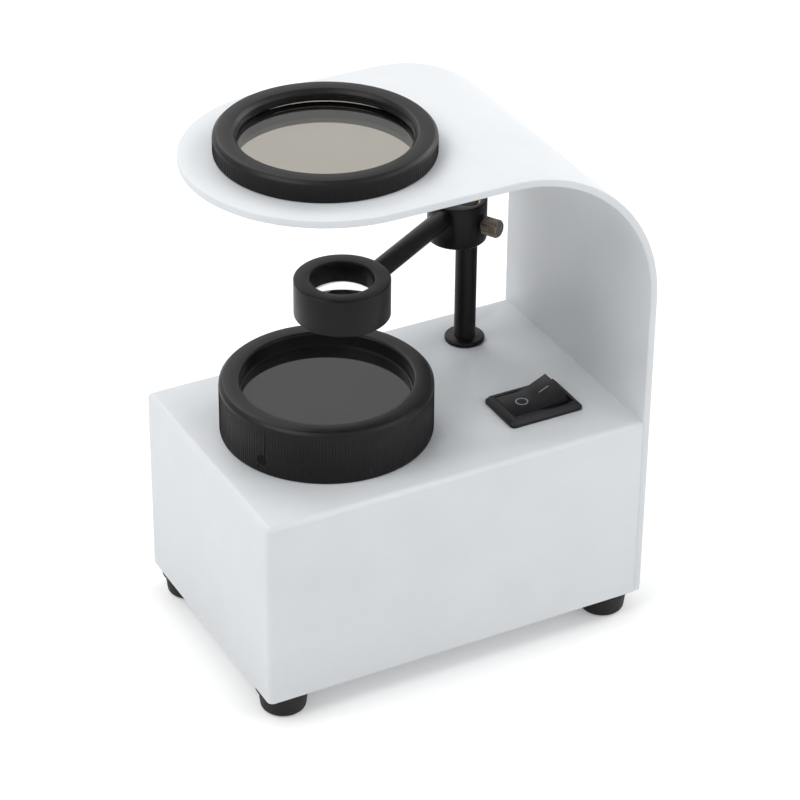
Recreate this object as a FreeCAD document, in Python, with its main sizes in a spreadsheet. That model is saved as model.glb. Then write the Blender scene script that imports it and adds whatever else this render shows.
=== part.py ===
import FreeCAD, Part
import math
import os
import re
import Sketcher

# Desktop polariscope with a swing-in conoscope lens, in millimetres.
# +Z is up, +X runs along the box towards the leg of the arch, -Y is the side with the switch.
# The origin lies on the table, under the middle of the overall length and width.

vector = FreeCAD.Vector
doc = FreeCAD.newDocument("polariscope")
sheet = doc.addObject("Spreadsheet::Sheet", "Sizes")

sizes = {
    # overall form of the folded box and of the arch that rises from its right end
    "overall_length": 109.5,
    "box_width": 71.0,
    "box_height": 52.5,
    "housing_inset": 1.5,
    "housing_wall": 1.2,
    "corner_radius": 1.5,
    "flange_width": 8.0,
    "lug_size": 15.0,
    "arch_height": 130.5,
    "arch_wall": 2.0,
    "bend_radius": 42.0,
    # bottom plate and feet
    "plate_thickness": 1.5,
    "plate_clearance": 0.3,
    "foot_inset": 7.2,
    "foot_height": 7.0,
    "foot_radius": 6.5,
    "foot_taper": 7.0,
    "foot_edge": 0.7,
    "foot_recess_radius": 3.8,
    "foot_recess_depth": 4.2,
    "foot_screw_radius": 2.0,
    "foot_screw_length": 8.4,
    "foot_head_radius": 3.5,
    "foot_head_height": 2.4,
    "screw_clearance": 0.15,
    # fits shared by the turning rings and the sliding collar
    "running_clearance": 0.05,
    "axial_play": 0.1,
    "seat_clearance": 0.1,
    # stage: the turning ring, its glass and the hub that carries it
    "stage_ring_radius": 27.0,
    "stage_ring_height": 14.5,
    "rim_chamfer": 0.9,
    "mouth_chamfer": 0.5,
    "rim_width": 5.2,
    "recess_depth": 4.0,
    "stage_glass_thickness": 2.0,
    "stage_seat_step": 0.6,
    "ledge_width": 1.1,
    "ledge_thickness": 2.0,
    "skirt_wall": 3.0,
    "hub_shoulder": 1.6,
    "hub_spigot_length": 6.4,
    "hub_wall": 3.0,
    "hub_ledge": 1.4,
    "disc_thickness": 2.0,
    "disc_drop": 0.3,
    "groove_drop": 2.7,
    "groove_width": 2.6,
    "groove_depth": 1.0,
    "grub_radius": 1.25,
    "grub_tip_radius": 0.9,
    "grub_tip_gap": 0.3,
    "grub_sink": 0.5,
    "grub_angle": 207.0,
    "stage_nut_wall": 3.6,
    "stage_nut_height": 3.0,
    # analyser: the turning ring above the arch plate and what it holds
    "analyser_ring_radius": 27.0,
    "analyser_ring_height": 5.5,
    "analyser_flange": 3.0,
    "analyser_tube_wall": 1.8,
    "analyser_lip_width": 0.8,
    "analyser_mouth_chamfer": 1.0,
    "analyser_lip_depth": 3.0,
    "analyser_glass_thickness": 3.0,
    "analyser_tube_drop": 3.8,
    "retainer_width": 1.3,
    "retainer_height": 2.6,
    "analyser_nut_wall": 3.0,
    "analyser_nut_height": 3.2,
    # conoscope post
    "post_from_end": 22.1,
    "post_from_far_side": 13.6,
    "post_radius": 2.85,
    "post_height": 41.1,
    "post_flange_radius": 5.3,
    "post_flange_height": 1.2,
    "post_flange_chamfer": 0.35,
    "stud_radius": 2.0,
    "stud_length": 7.0,
    "washer_radius": 4.5,
    "washer_thickness": 0.8,
    "nut_width": 7.0,
    "nut_height": 3.2,
    # collar, arm and lens ring
    "arm_angle": 211.0,
    "bush_wall": 0.5,
    "bush_inset": 0.5,
    "bush_slit": 0.8,
    "collar_radius": 7.8,
    "collar_height": 11.6,
    "collar_offset": 3.0,
    "collar_base": 29.9,
    "collar_chamfer": 0.3,
    "arm_radius": 2.65,
    "arm_cover": 0.4,
    "arm_root_gap": 0.55,
    "arm_reach": 56.2,
    "arm_in_ring": 1.3,
    "lens_ring_radius": 12.0,
    "lens_ring_height": 10.0,
    "lens_ring_rise": 1.2,
    "lens_ring_chamfer": 0.3,
    "lens_ring_wall": 2.6,
    "lens_lip_width": 1.5,
    "lens_lip_depth": 5.2,
    "lens_edge_height": 1.6,
    "lens_dome_height": 3.0,
    "lens_retainer_width": 1.1,
    "lens_retainer_height": 2.2,
    # thumbscrew
    "thumb_height": 5.6,
    "thumb_radius": 2.45,
    "thumb_length": 4.4,
    "thumb_gap": 0.5,
    "thumb_chamfer": 0.4,
    "shank_radius": 1.5,
    "shank_tip_gap": 0.05,
    "shank_in_knob": 3.0,
    # rocker switch
    "switch_from_end": 22.7,
    "switch_from_near_side": 19.9,
    "bezel_length": 21.0,
    "bezel_width": 15.0,
    "bezel_thickness": 2.0,
    "bezel_corner": 1.3,
    "bezel_slope": 1.2,
    "bezel_overlap": 0.9,
    "well_wall": 1.0,
    "well_side_wall": 1.2,
    "well_floor": 3.3,
    "rocker_tilt": 12.0,
    "rocker_valley_radius": 9.0,
    "rocker_clearance": 0.3,
    "pivot_depth": 1.6,
    "pivot_radius": 1.0,
    "pivot_length": 0.7,
    "terminal_length": 7.0,
    "terminal_width": 4.8,
    "terminal_thickness": 0.8,
    "terminal_spacing": 9.0,
    # lamp under the stage
    "cup_wall": 1.4,
    "cup_side_gap": 0.6,
    "cup_lip_thickness": 1.4,
    "lamp_gap": 6.6,
    "board_thickness": 1.6,
    "board_boss_inset": 2.0,
    "board_boss_radius": 2.4,
    "board_boss_height": 6.0,
    "board_screw_radius": 1.0,
    "board_screw_length": 5.0,
    "board_head_radius": 2.0,
    "board_head_height": 1.3,
    "chip_size": 3.5,
    "chip_height": 1.2,
    "chip_pitch": 12.0,
    # batteries
    "cell_radius": 7.1,
    "cell_length": 49.4,
    "cell_nub_radius": 2.7,
    "cell_nub_length": 1.1,
    "cell_gap": 1.0,
    "cell_play": 0.2,
    "tray_gap": 0.3,
    "tray_wall": 1.4,
    "tray_floor": 1.2,
    "tray_height": 11.0,
    "contact_thickness": 0.4,
    "contact_width": 9.0,
    # insulated leads
    "lead_radius": 0.7,
    "lead_bend": 2.1,
    "joint_offset": 7.0,
}

for row, (alias, value) in enumerate(sizes.items(), start=1):
    sheet.set(f"A{row}", alias)
    sheet.set(f"B{row}", str(value))
    sheet.setAlias(f"B{row}", alias)
doc.recompute()

subparts = []

# heights and places that several pieces share, as expressions of the sheet
box_top = "foot_height + box_height"
arch_top = "foot_height + arch_height"
arch_underside = "foot_height + arch_height - arch_wall"
right_face = "overall_length / 2"
housing_right = "overall_length / 2 - arch_wall"
housing_left = "housing_inset - overall_length / 2"
half_width = "box_width / 2"
optic_x = "box_width / 2 - overall_length / 2"
post_x = "overall_length / 2 - post_from_end"
post_y = "box_width / 2 - post_from_far_side"
switch_x = "overall_length / 2 - switch_from_end"
switch_y = "switch_from_near_side - box_width / 2"
foot_right = "overall_length / 2 - foot_inset"
foot_left = "housing_inset - overall_length / 2 + foot_inset"
foot_y = "box_width / 2 - foot_inset"
foot_centres = [
    (x, y) for x in (foot_left, foot_right) for y in (f"-({foot_y})", foot_y)
]
# radii inside the stage ring, from its outside inwards
recess_radius = "(stage_ring_radius - rim_width)"
hub_radius = "(stage_ring_radius - skirt_wall)"
spigot_radius = "(stage_ring_radius - skirt_wall - hub_shoulder)"
disc_seat = "(stage_ring_radius - skirt_wall - hub_wall)"
hub_top = "(stage_ring_height - recess_depth - stage_glass_thickness - ledge_thickness)"
groove_height = "(stage_ring_height - recess_depth - stage_glass_thickness - ledge_thickness - groove_drop)"
stage_nut_radius = f"({spigot_radius} + stage_nut_wall)"
cup_radius = f"({stage_nut_radius} + cup_side_gap + cup_wall)"
# radii inside the analyser ring
tube_radius = "(analyser_ring_radius - analyser_flange)"
analyser_seat = "(analyser_ring_radius - analyser_flange - analyser_tube_wall)"
analyser_mouth = f"({analyser_seat} - analyser_lip_width)"
# the rocker and the switch's body behind the bezel take their sizes from the bezel
body_length = "(bezel_length - bezel_overlap * 2)"
body_width = "(bezel_width - bezel_overlap * 2)"
well_radius = f"({body_length} / 2 - well_wall)"
well_width = f"({body_width} - well_side_wall * 2)"
rocker_radius = f"({well_radius} - rocker_clearance)"
rocker_width = f"({well_width} - rocker_clearance * 2)"
body_depth = f"(pivot_depth + {well_radius} + well_floor)"
# the batteries stand on the bottom plate, and the lamp board hangs above them
tray_z = "(foot_height + plate_thickness)"
cells_top = "(tray_floor + cell_radius * 2 + cell_play)"
board_low = f"({tray_z} + {cells_top} + lamp_gap)"
cup_rim = f"({board_low} + board_thickness - foot_height - box_height)"


def number(text):
    return float(sheet.evalExpression(text))


def linked(text):
    # every alias in the text becomes a reference to the sheet
    def point_at_sheet(word):
        return "Sizes." + word.group() if word.group() in sizes else word.group()
    return re.sub(r"[a-z_]+", point_at_sheet, text)


def bind(feature, name, text):
    feature.setExpression(name, linked(text))


def new_body(label):
    body = doc.addObject("PartDesign::Body", label)
    body.Label = label
    subparts.append(body)
    return body


def place(piece, x="0", y="0", z="0", turn="0"):
    piece.Placement = FreeCAD.Placement(vector(), FreeCAD.Rotation(vector(0, 0, 1), number(turn)))
    bind(piece, "Placement.Base.x", x)
    bind(piece, "Placement.Base.y", y)
    bind(piece, "Placement.Base.z", z)
    if turn != "0":
        bind(piece, "Placement.Rotation.Angle", turn)


def new_sketch(body, plane, name, offset="0"):
    # plane is XY (seen from above), XZ (normal towards -Y) or YZ (normal towards +X)
    sketch = body.newObject("Sketcher::SketchObject", name)
    support = [part for part in body.Origin.OriginFeatures if part.Role == plane + "_Plane"][0]
    sketch.AttachmentSupport = [(support, "")]
    sketch.MapMode = "FlatFace"
    sketch.AttachmentOffset = FreeCAD.Placement(vector(0, 0, number(offset)), FreeCAD.Rotation())
    if offset != "0":
        bind(sketch, "AttachmentOffset.Base.z", offset)
    return sketch


def pin_point(sketch, geometry, end, x, y):
    for kind, text in (("DistanceX", x), ("DistanceY", y)):
        value = number(text)
        place_of_limit = sketch.addConstraint(
            Sketcher.Constraint(kind, -1, 1, geometry, end, value))
        bind(sketch, f"Constraints[{place_of_limit}]", text)


def arc_middle(start, finish, radius, side):
    # the point half way along the short arc, on the left (+1) or right (-1) of the chord
    chord = finish - start
    half = chord.Length / 2
    square = vector(-chord.y, chord.x, 0).normalize()
    rise = radius - math.sqrt(max(radius * radius - half * half, 0))
    return (start + finish) / 2 + square * (rise * side)


def outline(sketch, corners, closed=True):
    # corners are (x, y), or (x, y, radius, side) where an arc runs from that corner to the next
    first = sketch.GeometryCount
    edges = len(corners) if closed else len(corners) - 1
    points = [vector(number(corner[0]), number(corner[1]), 0) for corner in corners]
    starts = []
    for index in range(edges):
        start = points[index]
        finish = points[(index + 1) % len(points)]
        if len(corners[index]) == 4:
            radius, side = corners[index][2:]
            middle = arc_middle(start, finish, number(radius), side)
            edge = sketch.addGeometry(Part.Arc(start, middle, finish))
        else:
            edge = sketch.addGeometry(Part.LineSegment(start, finish))
        runs_forward = sketch.getPoint(edge, 1).distanceToPoint(start) < 1e-6
        starts.append(1 if runs_forward else 2)
    for index in range(edges):
        if closed or index < edges - 1:
            following = (index + 1) % edges
            sketch.addConstraint(Sketcher.Constraint(
                "Coincident", first + index, 3 - starts[index],
                first + following, starts[following]))
        if len(corners[index]) == 4:
            radius = corners[index][2]
            limit = sketch.addConstraint(
                Sketcher.Constraint("Radius", first + index, number(radius)))
            bind(sketch, f"Constraints[{limit}]", radius)
        pin_point(sketch, first + index, starts[index], corners[index][0], corners[index][1])
    if not closed:
        last = first + edges - 1
        pin_point(sketch, last, 3 - starts[-1], corners[-1][0], corners[-1][1])


def rectangle(sketch, left, right, low, high):
    outline(sketch, [(left, low), (right, low), (right, high), (left, high)])


def circle(sketch, x, y, radius):
    centre = vector(number(x), number(y), 0)
    edge = sketch.addGeometry(Part.Circle(centre, vector(0, 0, 1), number(radius)))
    limit = sketch.addConstraint(Sketcher.Constraint("Radius", edge, number(radius)))
    bind(sketch, f"Constraints[{limit}]", radius)
    pin_point(sketch, edge, 3, x, y)


def pad(body, sketch, length, midplane=False, backwards=False, taper=None):
    feature = body.newObject("PartDesign::Pad", sketch.Name + "_pad")
    feature.Profile = sketch
    feature.SideType = "Symmetric" if midplane else "One side"
    feature.Reversed = backwards
    bind(feature, "Length", length)
    if taper:
        bind(feature, "TaperAngle", taper)
    return feature


def pocket(body, sketch, length, midplane=False, backwards=False):
    before = body_volume(body)
    feature = body.newObject("PartDesign::Pocket", sketch.Name + "_pocket")
    feature.Profile = sketch
    feature.SideType = "Symmetric" if midplane else "One side"
    feature.Reversed = backwards
    bind(feature, "Length", length)
    if body_volume(body) >= before - 1e-6:
        raise RuntimeError(feature.Name + " removes nothing")
    return feature


def body_volume(body):
    doc.recompute()
    return body.Shape.Volume


def turned(body, corners, name="profile"):
    sketch = new_sketch(body, "XZ", body.Name + "_" + name)
    outline(sketch, corners)
    feature = body.newObject("PartDesign::Revolution", body.Name + "_turned")
    feature.Profile = sketch
    feature.ReferenceAxis = (sketch, ["V_Axis"])
    feature.Angle = 360
    return feature


def grooved(body, corners, name):
    before = body_volume(body)
    sketch = new_sketch(body, "XZ", body.Name + "_" + name)
    outline(sketch, corners)
    feature = body.newObject("PartDesign::Groove", body.Name + "_groove")
    feature.Profile = sketch
    feature.ReferenceAxis = (sketch, ["V_Axis"])
    feature.Angle = 360
    if body_volume(body) >= before - 1e-6:
        raise RuntimeError(feature.Name + " removes nothing")


def tube_corners(inner, outer, low, high):
    return [(inner, low), (outer, low), (outer, high), (inner, high)]


def round_edges(body, radius, wanted):
    doc.recompute()
    names = [f"Edge{index}" for index, edge in enumerate(body.Tip.Shape.Edges, start=1)
             if wanted(edge)]
    feature = body.newObject("PartDesign::Fillet", body.Name + "_rounding")
    feature.Base = (body.Tip if body.Tip is not feature else feature.BaseFeature, names)
    bind(feature, "Radius", radius)
    return feature


def chamfer_edges(body, size, wanted):
    doc.recompute()
    names = [f"Edge{index}" for index, edge in enumerate(body.Tip.Shape.Edges, start=1)
             if wanted(edge)]
    feature = body.newObject("PartDesign::Chamfer", body.Name + "_chamfer")
    feature.Base = (feature.BaseFeature, names)
    bind(feature, "Size", size)


def lies_on(edge, axis, text):
    # both ends of the edge have this coordinate on the axis "x", "y" or "z"
    value = number(text)
    return all(abs(getattr(vertex.Point, axis) - value) < 1e-4 for vertex in edge.Vertexes)


def make_housing():
    body = new_body("base_housing")
    block = new_sketch(body, "XY", "housing_plan", "foot_height")
    rectangle(block, housing_left, housing_right, f"-({half_width})", half_width)
    pad(body, block, "box_height")

    def is_folded(edge):
        on_left = lies_on(edge, "x", housing_left)
        on_top = lies_on(edge, "z", box_top)
        on_side = lies_on(edge, "y", half_width) or lies_on(edge, "y", f"-({half_width})")
        return (on_left and on_side) or (on_top and (on_left or on_side))
    round_edges(body, "corner_radius", is_folded)

    inner_side = "box_width / 2 - housing_wall"
    inside = new_sketch(body, "XY", "housing_inside", "foot_height")
    rectangle(inside, f"{housing_left} + housing_wall", f"{housing_right} - housing_wall",
              f"-({inner_side})", inner_side)
    pocket(body, inside, "box_height - housing_wall", backwards=True)

    # the open end keeps a narrow flange that the arch's leg is welded to
    window_side = "box_width / 2 - flange_width"
    window = new_sketch(body, "YZ", "housing_window", housing_right)
    rectangle(window, f"-({window_side})", window_side, "foot_height",
              "foot_height + box_height - flange_width")
    pocket(body, window, "housing_wall * 2")

    lugs = new_sketch(body, "XY", "housing_lugs", "foot_height + plate_thickness")
    for end, step in ((housing_left, "+"), (housing_right, "-")):
        for side, turn in ((half_width, "-"), (f"-({half_width})", "+")):
            outer_x = f"{end} {step} housing_wall / 2"
            inner_x = f"{end} {step} lug_size"
            outer_y = f"{side} {turn} housing_wall / 2"
            inner_y = f"{side} {turn} lug_size"
            outline(lugs, [(outer_x, outer_y), (inner_x, outer_y), (inner_x, inner_y),
                           (outer_x, inner_y)])
    pad(body, lugs, "housing_wall")

    screw_holes = new_sketch(body, "XY", "housing_screw_holes", "foot_height + plate_thickness")
    for x, y in foot_centres:
        circle(screw_holes, x, y, "foot_screw_radius + running_clearance")
    pocket(body, screw_holes, "housing_wall", backwards=True)

    top_holes = new_sketch(body, "XY", "housing_top_holes", box_top)
    circle(top_holes, optic_x, "0", f"{spigot_radius} + seat_clearance")
    circle(top_holes, post_x, post_y, "stud_radius + screw_clearance")
    cut_out_length = f"{body_length} / 2 + seat_clearance"
    cut_out_width = f"{body_width} / 2 + seat_clearance"
    rectangle(top_holes, f"{switch_x} - ({cut_out_length})", f"{switch_x} + {cut_out_length}",
              f"{switch_y} - ({cut_out_width})", f"{switch_y} + {cut_out_width}")
    pocket(body, top_holes, "housing_wall * 2")


def make_arch():
    # one strip of sheet: leg, bend and plate in side view, then the round end and the hole
    body = new_body("arch_bracket")
    bend_x = "overall_length / 2 - bend_radius"
    bend_z = f"{arch_top} - bend_radius"
    side = new_sketch(body, "XZ", "arch_side")
    outline(side, [
        (right_face, "foot_height"),
        (right_face, bend_z, "bend_radius", -1),
        (bend_x, arch_top),
        ("-overall_length / 2", arch_top),
        ("-overall_length / 2", arch_underside),
        (bend_x, arch_underside, "bend_radius - arch_wall", 1),
        (housing_right, bend_z),
        (housing_right, "foot_height"),
    ])
    pad(body, side, "box_width", midplane=True)
    trim = new_sketch(body, "XY", "arch_round_end", arch_top)
    outline(trim, [
        (optic_x, half_width, "box_width / 2", -1),
        ("-overall_length / 2", "0", "box_width / 2", -1),
        (optic_x, f"-({half_width})"),
        ("-overall_length / 2 - arch_wall", f"-({half_width})"),
        ("-overall_length / 2 - arch_wall", half_width),
    ])
    pocket(body, trim, "arch_wall * 2")
    hole = new_sketch(body, "XY", "arch_hole", arch_top)
    circle(hole, optic_x, "0", f"{tube_radius} + running_clearance")
    pocket(body, hole, "arch_wall * 2")


def make_bottom_plate():
    body = new_body("bottom_plate")
    gap = "housing_wall + plate_clearance"
    side = f"box_width / 2 - ({gap})"
    plan = new_sketch(body, "XY", "plate_plan", "foot_height")
    rectangle(plan, f"{housing_left} + {gap}", f"{housing_right} - ({gap})", f"-({side})", side)
    for x, y in foot_centres:
        circle(plan, x, y, "foot_screw_radius + screw_clearance")
    pad(body, plan, "plate_thickness")


def make_feet():
    body = new_body("rubber_feet")
    cups = new_sketch(body, "XY", "foot_plan", "foot_height")
    for x, y in foot_centres:
        circle(cups, x, y, "foot_radius")
    pad(body, cups, "foot_height", backwards=True, taper="-foot_taper")
    round_edges(body, "foot_edge", lambda edge: lies_on(edge, "z", "0"))
    recess = new_sketch(body, "XY", "foot_recess", "0")
    for x, y in foot_centres:
        circle(recess, x, y, "foot_recess_radius")
    pocket(body, recess, "foot_recess_depth", backwards=True)
    through = new_sketch(body, "XY", "foot_hole", "foot_height")
    for x, y in foot_centres:
        circle(through, x, y, "foot_screw_radius + screw_clearance")
    pocket(body, through, "foot_height")


def make_foot_screws():
    body = new_body("foot_screws")
    head = new_sketch(body, "XY", "foot_screw_heads", "foot_recess_depth")
    shank = new_sketch(body, "XY", "foot_screw_shanks", "foot_recess_depth")
    for x, y in foot_centres:
        circle(head, x, y, "foot_head_radius")
        circle(shank, x, y, "foot_screw_radius")
    pad(body, head, "foot_head_height", backwards=True)
    pad(body, shank, "foot_screw_length")


def make_stage_hub():
    # fixed tube that the stage ring turns on; its spigot hangs through the box top
    body = new_body("stage_hub")
    seat_floor = f"{hub_top} - disc_thickness - disc_drop"
    diffuser_seat = "disc_thickness - hub_spigot_length"
    turned(body, [
        (spigot_radius, "-hub_spigot_length"),
        (spigot_radius, "0"),
        (hub_radius, "0"),
        (hub_radius, hub_top),
        (disc_seat, hub_top),
        (disc_seat, seat_floor),
        (f"{disc_seat} - hub_ledge", seat_floor),
        (f"{disc_seat} - hub_ledge", diffuser_seat),
        (disc_seat, diffuser_seat),
        (disc_seat, "-hub_spigot_length"),
    ])
    grooved(body, [
        (f"{hub_radius} - groove_depth", f"{groove_height} - groove_width / 2"),
        (f"{hub_radius} + groove_depth", f"{groove_height} - groove_width / 2"),
        (f"{hub_radius} + groove_depth", f"{groove_height} + groove_width / 2"),
        (f"{hub_radius} - groove_depth", f"{groove_height} + groove_width / 2"),
    ], "grub_groove")
    place(body, optic_x, "0", box_top)

    polariser = new_body("polariser_disc")
    disc_radius = f"{disc_seat} - seat_clearance"
    turned(polariser, tube_corners("0", disc_radius, seat_floor, f"{seat_floor} + disc_thickness"))
    place(polariser, optic_x, "0", box_top)

    diffuser = new_body("diffuser_disc")
    turned(diffuser, tube_corners("0", disc_radius, "-hub_spigot_length", diffuser_seat))
    place(diffuser, optic_x, "0", box_top)

    nut = new_body("stage_lock_ring")
    nut_top = "-housing_wall - cup_lip_thickness"
    turned(nut, tube_corners(f"{spigot_radius} + running_clearance", stage_nut_radius,
                             f"{nut_top} - stage_nut_height", nut_top))
    place(nut, optic_x, "0", box_top)


def make_stage_ring():
    body = new_body("stage_ring")
    ledge_top = "stage_ring_height - recess_depth - stage_glass_thickness"
    seat = f"{recess_radius} - stage_seat_step"
    bore = f"{hub_radius} + running_clearance"
    turned(body, [
        (bore, "axial_play"),
        ("stage_ring_radius", "axial_play"),
        ("stage_ring_radius", "stage_ring_height - rim_chamfer"),
        ("stage_ring_radius - rim_chamfer", "stage_ring_height"),
        (f"{recess_radius} + mouth_chamfer", "stage_ring_height"),
        (recess_radius, "stage_ring_height - mouth_chamfer"),
        (recess_radius, "stage_ring_height - recess_depth"),
        (seat, "stage_ring_height - recess_depth"),
        (seat, ledge_top),
        (f"{seat} - ledge_width", ledge_top),
        (f"{seat} - ledge_width", f"{ledge_top} - ledge_thickness + axial_play"),
        (bore, f"{ledge_top} - ledge_thickness + axial_play"),
    ])
    doc.recompute()
    # tapped hole for the grub screw, straight through the ring's skirt along its local +X
    hole = new_sketch(body, "YZ", "grub_hole", "stage_ring_radius + rim_chamfer")
    circle(hole, "0", groove_height, "grub_radius + running_clearance")
    pocket(body, hole, "skirt_wall + rim_chamfer * 2")
    place(body, optic_x, "0", box_top, "grub_angle")

    glass = new_body("stage_glass")
    turned(glass, tube_corners("0", f"{seat} - seat_clearance", ledge_top,
                               f"{ledge_top} + stage_glass_thickness"))
    place(glass, optic_x, "0", box_top)

    grub = new_body("stage_grub_screw")
    grub_start = f"{hub_radius} + grub_tip_gap"
    profile = new_sketch(grub, "YZ", "grub_body", grub_start)
    circle(profile, "0", groove_height, "grub_radius")
    pad(grub, profile, "skirt_wall - grub_sink - grub_tip_gap")
    tip = new_sketch(grub, "YZ", "grub_tip", grub_start)
    circle(tip, "0", groove_height, "grub_tip_radius")
    pad(grub, tip, "groove_depth", backwards=True)
    place(grub, optic_x, "0", box_top, "grub_angle")


def make_analyser():
    # heights are measured from the upper face of the arch plate
    lip = "analyser_ring_height - analyser_lip_depth"
    seat = analyser_seat
    tube_end = "-arch_wall - analyser_tube_drop"
    body = new_body("analyser_ring")
    turned(body, [
        (seat, tube_end),
        (tube_radius, tube_end),
        (tube_radius, "axial_play"),
        ("analyser_ring_radius", "axial_play"),
        ("analyser_ring_radius", "analyser_ring_height - rim_chamfer"),
        ("analyser_ring_radius - rim_chamfer", "analyser_ring_height"),
        (f"{analyser_mouth} + analyser_mouth_chamfer", "analyser_ring_height"),
        (analyser_mouth, "analyser_ring_height - analyser_mouth_chamfer"),
        (analyser_mouth, lip),
        (seat, lip),
    ])
    glass_low = f"{lip} - analyser_glass_thickness"
    disc = new_body("analyser_disc")
    turned(disc, tube_corners("0", f"{seat} - seat_clearance", glass_low, lip))
    retainer = new_body("analyser_retainer")
    turned(retainer, tube_corners(f"{seat} - retainer_width", f"{seat} - running_clearance",
                                  f"{glass_low} - retainer_height", glass_low))
    nut = new_body("analyser_lock_ring")
    nut_top = "-arch_wall - axial_play"
    turned(nut, tube_corners(f"{tube_radius} + running_clearance", f"{tube_radius} + analyser_nut_wall",
                             f"{nut_top} - analyser_nut_height", nut_top))
    for piece in (body, disc, retainer, nut):
        place(piece, optic_x, "0", arch_top)


def make_post():
    body = new_body("conoscope_post")
    chamfer = "post_flange_chamfer"
    turned(body, [
        ("0", "-stud_length"),
        ("stud_radius", "-stud_length"),
        ("stud_radius", "0"),
        ("post_flange_radius", "0"),
        ("post_flange_radius", f"post_flange_height - {chamfer}"),
        (f"post_flange_radius - {chamfer}", "post_flange_height"),
        ("post_radius", "post_flange_height"),
        ("post_radius", f"post_height - {chamfer}"),
        (f"post_radius - {chamfer}", "post_height"),
        ("0", "post_height"),
    ])
    washer = new_body("post_washer")
    turned(washer, tube_corners("stud_radius + screw_clearance", "washer_radius",
                                "-housing_wall - washer_thickness", "-housing_wall"))
    nut = new_body("post_nut")
    hexagon = new_sketch(nut, "XY", "nut_plan", "-housing_wall - washer_thickness")
    corner = "nut_width / sqrt(3)"
    outline(hexagon, [
        (corner, "0"),
        (f"{corner} / 2", "nut_width / 2"),
        (f"-{corner} / 2", "nut_width / 2"),
        (f"-{corner}", "0"),
        (f"-{corner} / 2", "-nut_width / 2"),
        (f"{corner} / 2", "-nut_width / 2"),
    ])
    circle(hexagon, "0", "0", "stud_radius + running_clearance")
    pad(nut, hexagon, "nut_height", backwards=True)
    for piece in (body, washer, nut):
        place(piece, post_x, post_y, box_top)


# the collar, the arm and the lens are drawn with the post's axis at their origin, the arm along
# local +X and the thumbscrew along local +Y; arm_angle then turns them into place
arm_y = "-collar_offset"
arm_z = "collar_base + collar_height - arm_radius - arm_cover"
arm_root = "post_radius + bush_wall + arm_root_gap"
lens_low = f"{arm_z} + lens_ring_rise - lens_ring_height / 2"
flank_y = "collar_radius - collar_offset"
thumb_z = "collar_base + thumb_height"


def place_on_post(piece):
    place(piece, post_x, post_y, box_top, "arm_angle")


def make_collar():
    body = new_body("arm_collar")
    plan = new_sketch(body, "XY", "collar_plan", "collar_base")
    circle(plan, "0", arm_y, "collar_radius")
    pad(body, plan, "collar_height")
    chamfer_edges(body, "collar_chamfer", lambda edge: lies_on(edge, "z", "collar_base")
                  or lies_on(edge, "z", "collar_base + collar_height"))
    bore = new_sketch(body, "XY", "collar_bore", "collar_base")
    circle(bore, "0", "0", "post_radius + bush_wall + running_clearance * 2")
    pocket(body, bore, "collar_height", backwards=True)
    screw_hole = new_sketch(body, "XZ", "collar_screw_hole")
    circle(screw_hole, "0", thumb_z, "shank_radius + running_clearance")
    pocket(body, screw_hole, "collar_radius", backwards=False)
    socket = new_sketch(body, "YZ", "collar_arm_socket", arm_root)
    circle(socket, arm_y, arm_z, "arm_radius + running_clearance")
    pocket(body, socket, "collar_radius", backwards=True)
    place_on_post(body)


def make_bush():
    # split sleeve between the post and the collar
    body = new_body("collar_bush")
    sleeve = new_sketch(body, "XY", "bush_plan", "collar_base + bush_inset")
    circle(sleeve, "0", "0", "post_radius + running_clearance + bush_wall")
    circle(sleeve, "0", "0", "post_radius + running_clearance")
    pad(body, sleeve, "collar_height - bush_inset * 2")
    slit = new_sketch(body, "XY", "bush_slit_plan", "collar_base + bush_inset")
    rectangle(slit, "-bush_slit / 2", "bush_slit / 2", "-post_radius - bush_wall * 2", "0")
    pocket(body, slit, "collar_height", backwards=True)
    place_on_post(body)


def make_arm():
    body = new_body("arm_rod")
    section = new_sketch(body, "YZ", "arm_section", arm_root)
    circle(section, arm_y, arm_z, "arm_radius")
    pad(body, section, f"arm_reach - lens_ring_radius + arm_in_ring - ({arm_root})")
    place_on_post(body)


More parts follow.
